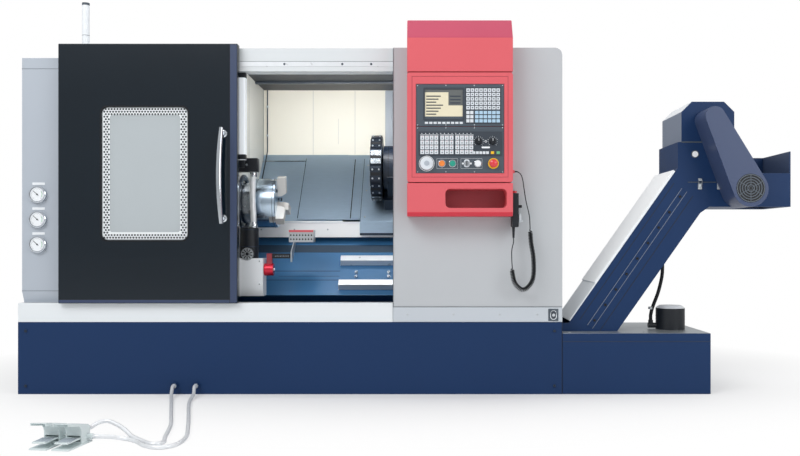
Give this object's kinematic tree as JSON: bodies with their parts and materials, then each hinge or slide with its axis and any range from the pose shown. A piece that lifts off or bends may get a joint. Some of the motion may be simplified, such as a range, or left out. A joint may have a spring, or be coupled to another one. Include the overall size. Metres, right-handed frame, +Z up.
{
  "type": "cnc turning lathe",
  "caption": "Enclosed slant-bed CNC turning lathe with sliding door, chuck, turret, operator console, chip conveyor, coolant tank and foot switch.",
  "frame": {"origin": "centre of the base's underside, on the floor", "axes": "+X along the spindle to the right as the operator sees it, +Y to the rear, +Z up"},
  "size_m": [3.734, 2.7032, 1.9254],
  "materials": {
    "navy": "semi-gloss navy enamel",
    "bed_blue": "blue painted casting",
    "dark": "dark grey enamel",
    "steel": "machined and ground steel",
    "rubber": "matte black rubber",
    "white": "white enamel",
    "pale": "pale blue-grey enamel",
    "cream": "cream enamel",
    "red": "glossy red enamel",
    "slate": "dark slate membrane panel",
    "black": "black plastic",
    "black_gloss": "gloss black panel",
    "glass": "tinted safety glass with a printed border",
    "orange": "glossy orange plastic",
    "teal": "glossy teal plastic",
    "tread": "pale grey-green enamel",
    "zinc": "corrugated zinc armour"
  },
  "bodies": {
    "lathe": {"base_frame": "navy", "bed_casting": "bed_blue", "headstock": "dark", "spindle_motor": "dark", "drive_belt": "rubber", "catcher_box": "white", "catcher_conduit": "steel", "left_cabinet": "pale", "enclosure_shell": "pale", "inner_liner": "cream", "right_cover": "pale", "front_ledge": "pale", "work_light": "white", "console_hood": "red", "console_box": "red", "console_tray": "red", "screen_panel": "slate", "operator_panel": "slate", "signal_tower": "white", "pendant": "black", "cord_upper": "rubber", "cord_coil": "rubber", "cord_lower": "rubber", "pedal_base": "tread", "conduit_left": "zinc", "conduit_right": "zinc", "conveyor_body": "navy", "conveyor_cover": "white", "conveyor_hood": "navy", "chain_guard": "navy", "tank": "navy", "pump": "black", "hose": "rubber"},
    "door": {"door_panel": "black_gloss", "door_window": "glass", "door_handle": "steel"},
    "spindle_assembly": {"spindle": "steel", "chuck_body": "steel"},
    "jaw_one": {"jaw_1": "steel"},
    "jaw_two": {"jaw_2": "steel"},
    "jaw_three": {"jaw_3": "steel"},
    "draw_bar": {"draw_tube": "steel"},
    "drive_pulley": {"motor_pulley": "steel"},
    "carriage": {"saddle": "dark"},
    "middle_cover": {"way_cover": "steel"},
    "turret_slide": {"cross_slide": "dark"},
    "turret": {"turret_disc": "steel"},
    "ball_screw": {"z_screw": "steel"},
    "tailstock": {"tailstock_body": "bed_blue"},
    "tail_quill": {"quill": "steel"},
    "parts_catcher": {"catcher_arm": "red"},
    "emergency_stop": {"e_stop": "red"},
    "cycle_start": {"start_button": "teal"},
    "feed_hold": {"hold_button": "orange"},
    "panel_handwheel": {"handwheel": "white"},
    "feed_knob": {"knob_feed": "black"},
    "spindle_knob": {"knob_spindle": "black"},
    "pendant_handwheel": {"pendant_wheel": "white"},
    "left_pedal": {"pedal_left": "tread"},
    "right_pedal": {"pedal_right": "tread"}
  },
  "joints": [
    {"name": "door_slide", "type": "slide", "parent": "lathe", "child": "door", "axis": [1, 0, 0], "range_m": [0, 0.735]},
    {"name": "spindle_turn", "type": "hinge", "parent": "lathe", "child": "spindle_assembly", "pos_m": [-0.235, -0.44, 0.929], "axis": [1, 0, 0], "continuous": true},
    {"name": "motor_turn", "type": "hinge", "parent": "lathe", "child": "drive_pulley", "pos_m": [-0.95, 0.67, 0.52], "axis": [1, 0, 0], "continuous": true},
    {"name": "draw_slide", "type": "slide", "parent": "spindle_assembly", "child": "draw_bar", "axis": [-1, 0, 0], "range_m": [0, 0.019]},
    {"name": "jaw_1_slide", "type": "slide", "parent": "spindle_assembly", "child": "jaw_one", "axis": [0, 0.2588, -0.9659], "range_m": [0, 0.0044]},
    {"name": "jaw_2_slide", "type": "slide", "parent": "spindle_assembly", "child": "jaw_two", "axis": [0, 0.7071, 0.7071], "range_m": [0, 0.0044]},
    {"name": "jaw_3_slide", "type": "slide", "parent": "spindle_assembly", "child": "jaw_three", "axis": [0, -0.9659, 0.2588], "range_m": [0, 0.0044]},
    {"name": "saddle_slide", "type": "slide", "parent": "lathe", "child": "carriage", "axis": [1, 0, 0], "range_m": [-0.355, 0.3]},
    {"name": "way_cover_slide", "type": "slide", "parent": "lathe", "child": "middle_cover", "axis": [1, 0, 0], "range_m": [-0.1775, 0.15]},
    {"name": "cross_slide_slide", "type": "slide", "parent": "carriage", "child": "turret_slide", "axis": [0, 0.7071, 0.7071], "range_m": [-0.1, 0.12]},
    {"name": "turret_turn", "type": "hinge", "parent": "turret_slide", "child": "turret", "pos_m": [0.356, -0.2396, 1.1294], "axis": [1, 0, 0], "continuous": true},
    {"name": "screw_turn", "type": "hinge", "parent": "lathe", "child": "ball_screw", "pos_m": [1.2, -0.02422, 0.96577], "axis": [1, 0, 0], "continuous": true},
    {"name": "tailstock_slide", "type": "slide", "parent": "lathe", "child": "tailstock", "axis": [-1, 0, 0], "range_m": [0, 0.4]},
    {"name": "quill_slide", "type": "slide", "parent": "tailstock", "child": "tail_quill", "axis": [-1, 0, 0], "range_m": [0, 0.12]},
    {"name": "catcher_swing", "type": "hinge", "parent": "lathe", "child": "parts_catcher", "pos_m": [-0.1554, -0.6175, 0.59], "axis": [1, 0, 0], "range_deg": [0, 65]},
    {"name": "e_stop_press", "type": "slide", "parent": "lathe", "child": "emergency_stop", "axis": [0, 1, 0], "range_m": [0, 0.005]},
    {"name": "start_press", "type": "slide", "parent": "lathe", "child": "cycle_start", "axis": [0, 1, 0], "range_m": [0, 0.003], "stiffness_N_per_m": 400, "springref_m": -0.002},
    {"name": "hold_press", "type": "slide", "parent": "lathe", "child": "feed_hold", "axis": [0, 1, 0], "range_m": [0, 0.003], "stiffness_N_per_m": 400, "springref_m": -0.002},
    {"name": "handwheel_turn", "type": "hinge", "parent": "lathe", "child": "panel_handwheel", "pos_m": [0.651, -0.9173, 1.09], "axis": [0, 1, 0], "continuous": true},
    {"name": "knob_feed_turn", "type": "hinge", "parent": "lathe", "child": "feed_knob", "pos_m": [0.8915, -0.9173, 1.1925], "axis": [0, 1, 0], "range_deg": [-135, 135]},
    {"name": "knob_spindle_turn", "type": "hinge", "parent": "lathe", "child": "spindle_knob", "pos_m": [0.9568, -0.9173, 1.1925], "axis": [0, 1, 0], "range_deg": [-135, 135]},
    {"name": "pendant_wheel_turn", "type": "hinge", "parent": "lathe", "child": "pendant_handwheel", "pos_m": [1.0803, -0.856, 0.84], "axis": [1, 0, 0], "continuous": true},
    {"name": "pedal_left_press", "type": "hinge", "parent": "lathe", "child": "left_pedal", "pos_m": [-0.69676, -1.78683, 0.025], "axis": [0.9903, -0.1392, 0], "range_deg": [0, 7], "stiffness_Nm_per_rad": 6, "springref_deg": -5.73},
    {"name": "pedal_right_press", "type": "hinge", "parent": "lathe", "child": "right_pedal", "pos_m": [-0.61298, -1.79861, 0.025], "axis": [0.9903, -0.1392, 0], "range_deg": [0, 7], "stiffness_Nm_per_rad": 6, "springref_deg": -5.73}
  ],
  "couplings": [
    {"joint": "motor_turn", "follows": "spindle_turn", "ratio": 1.3},
    {"joint": "jaw_1_slide", "follows": "draw_slide", "ratio": 0.2315},
    {"joint": "jaw_2_slide", "follows": "draw_slide", "ratio": 0.2315},
    {"joint": "jaw_3_slide", "follows": "draw_slide", "ratio": 0.2315},
    {"joint": "way_cover_slide", "follows": "saddle_slide", "ratio": 0.5},
    {"joint": "screw_turn", "follows": "saddle_slide", "rad_per_m": 628.32}
  ]
}
